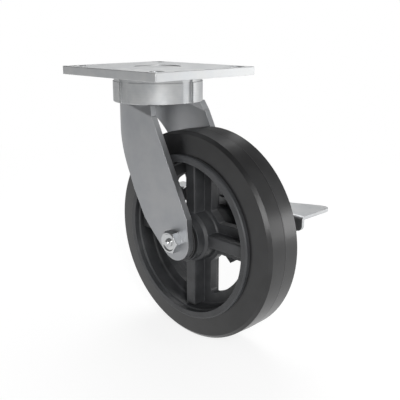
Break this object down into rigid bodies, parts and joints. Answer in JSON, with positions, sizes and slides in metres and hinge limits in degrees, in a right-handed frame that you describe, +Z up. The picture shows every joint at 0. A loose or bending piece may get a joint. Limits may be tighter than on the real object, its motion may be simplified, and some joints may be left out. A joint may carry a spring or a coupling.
{
  "type": "swivel castor",
  "caption": "Heavy swivel castor: slotted top plate, ball raceway, two-leg steel fork, spoked cast wheel with a rubber tyre, and a foot pedal brake on the axle.",
  "frame": {"origin": "centre of the plate's mounting face, on the swivel axis", "axes": "+Z up and out of the mounting face, +X the way the wheel trails, +Y along the axle to the side with the brake pedal"},
  "size_m": [0.2364, 0.1374, 0.2586],
  "materials": {
    "plated_steel": "satin zinc plating",
    "bright_hardware": "bright zinc plating",
    "bearing_steel": "ground and polished",
    "cast_iron": "painted casting",
    "tyre_rubber": "smooth moulded",
    "seal_rubber": "moulded",
    "black_washer": "moulded"
  },
  "bodies": {
    "plate": {"top_plate": "plated_steel", "inner_raceway": "plated_steel"},
    "fork": {"outer_raceway": "plated_steel", "near_leg": "plated_steel", "far_leg": "plated_steel", "raceway_seal": "seal_rubber", "dust_cap": "plated_steel", "ball_fill_plug": "bright_hardware", "raceway_grease_nipple": "bright_hardware", "axle_bolt": "bright_hardware", "axle_grease_nipple": "bright_hardware", "axle_washer": "bright_hardware", "axle_nut": "bright_hardware", "thrust_washer": "black_washer", "bearing_sleeve": "bearing_steel"},
    "ball_row": {"race_balls": "bearing_steel"},
    "wheel": {"wheel_casting": "cast_iron", "tyre": "tyre_rubber", "bearing_race": "bearing_steel"},
    "roller_set": {"bearing_rollers": "bearing_steel", "bearing_cage": "bearing_steel"},
    "brake": {"brake_lever": "plated_steel"}
  },
  "joints": [
    {"name": "swivel", "type": "hinge", "parent": "plate", "child": "fork", "pos_m": [0, 0, 0], "axis": [0, 0, 1], "continuous": true},
    {"name": "ball_orbit", "type": "hinge", "parent": "plate", "child": "ball_row", "pos_m": [0, 0, -0.022], "axis": [0, 0, 1], "continuous": true},
    {"name": "wheel_roll", "type": "hinge", "parent": "fork", "child": "wheel", "pos_m": [0.0635, 0, -0.1566], "axis": [0, 1, 0], "continuous": true},
    {"name": "roller_orbit", "type": "hinge", "parent": "fork", "child": "roller_set", "pos_m": [0.0635, 0, -0.1566], "axis": [0, 1, 0], "continuous": true},
    {"name": "brake_pedal", "type": "hinge", "parent": "fork", "child": "brake", "pos_m": [0.0635, 0.03, -0.1566], "axis": [0, 1, 0], "range_deg": [-12, 5]}
  ],
  "couplings": [
    {"joint": "ball_orbit", "follows": "swivel", "ratio": 0.5613},
    {"joint": "roller_orbit", "follows": "wheel_roll", "ratio": 0.5878}
  ]
}
